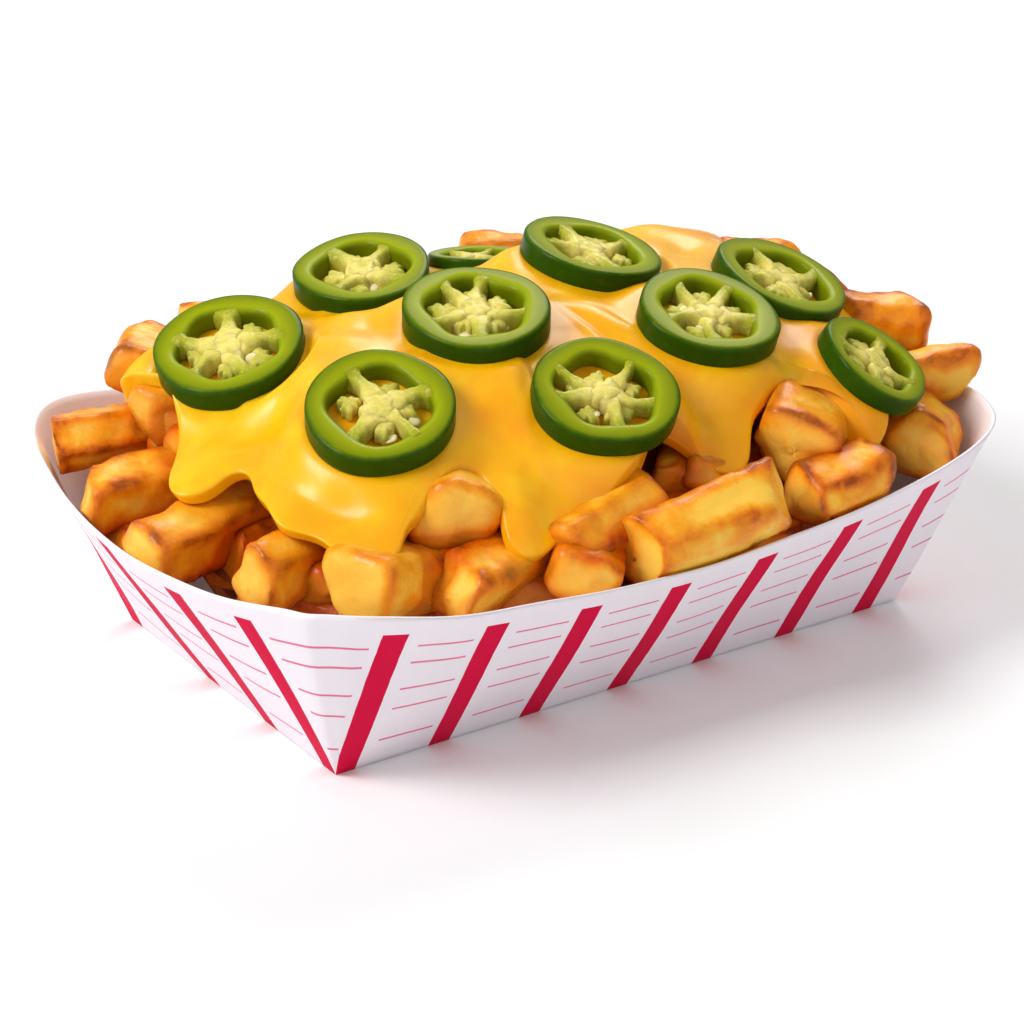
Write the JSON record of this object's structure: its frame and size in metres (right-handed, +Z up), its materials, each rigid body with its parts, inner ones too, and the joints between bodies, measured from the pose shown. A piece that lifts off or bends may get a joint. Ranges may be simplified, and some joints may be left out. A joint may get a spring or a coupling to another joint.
{
  "type": "tray of cheese fries",
  "caption": "Striped paper food tray heaped with thick-cut fries under cheese sauce, topped with green pepper slices.",
  "frame": {"origin": "middle of the tray's flat base, on the surface that it stands on", "axes": "+Z up; +X along the tray's long side; +Y along its short side, from the side shown in front to the back"},
  "size_m": [0.184, 0.128, 0.0757],
  "materials": {
    "printed_paper": "smooth coated paperboard, white with crimson bars and thin pink dashes printed outside",
    "fried_potato": "deep-fried potato, golden with darker browned edges and a little oil",
    "cheese_sauce": "smooth warm cheese sauce, soft gloss",
    "pickled_pepper": "wet cut pepper: dark green skin, lighter flesh, pale hub with seeds"
  },
  "bodies": {
    "root": {"tray": "printed_paper", "fries_heap": "fried_potato", "cheese_sauce": "cheese_sauce", "pepper_slice_01": "pickled_pepper", "pepper_slice_02": "pickled_pepper", "pepper_slice_03": "pickled_pepper", "pepper_slice_04": "pickled_pepper", "pepper_slice_05": "pickled_pepper", "pepper_slice_06": "pickled_pepper", "pepper_slice_07": "pickled_pepper", "pepper_slice_08": "pickled_pepper", "pepper_slice_09": "pickled_pepper", "pepper_slice_10": "pickled_pepper"}
  },
  "joints": []
}
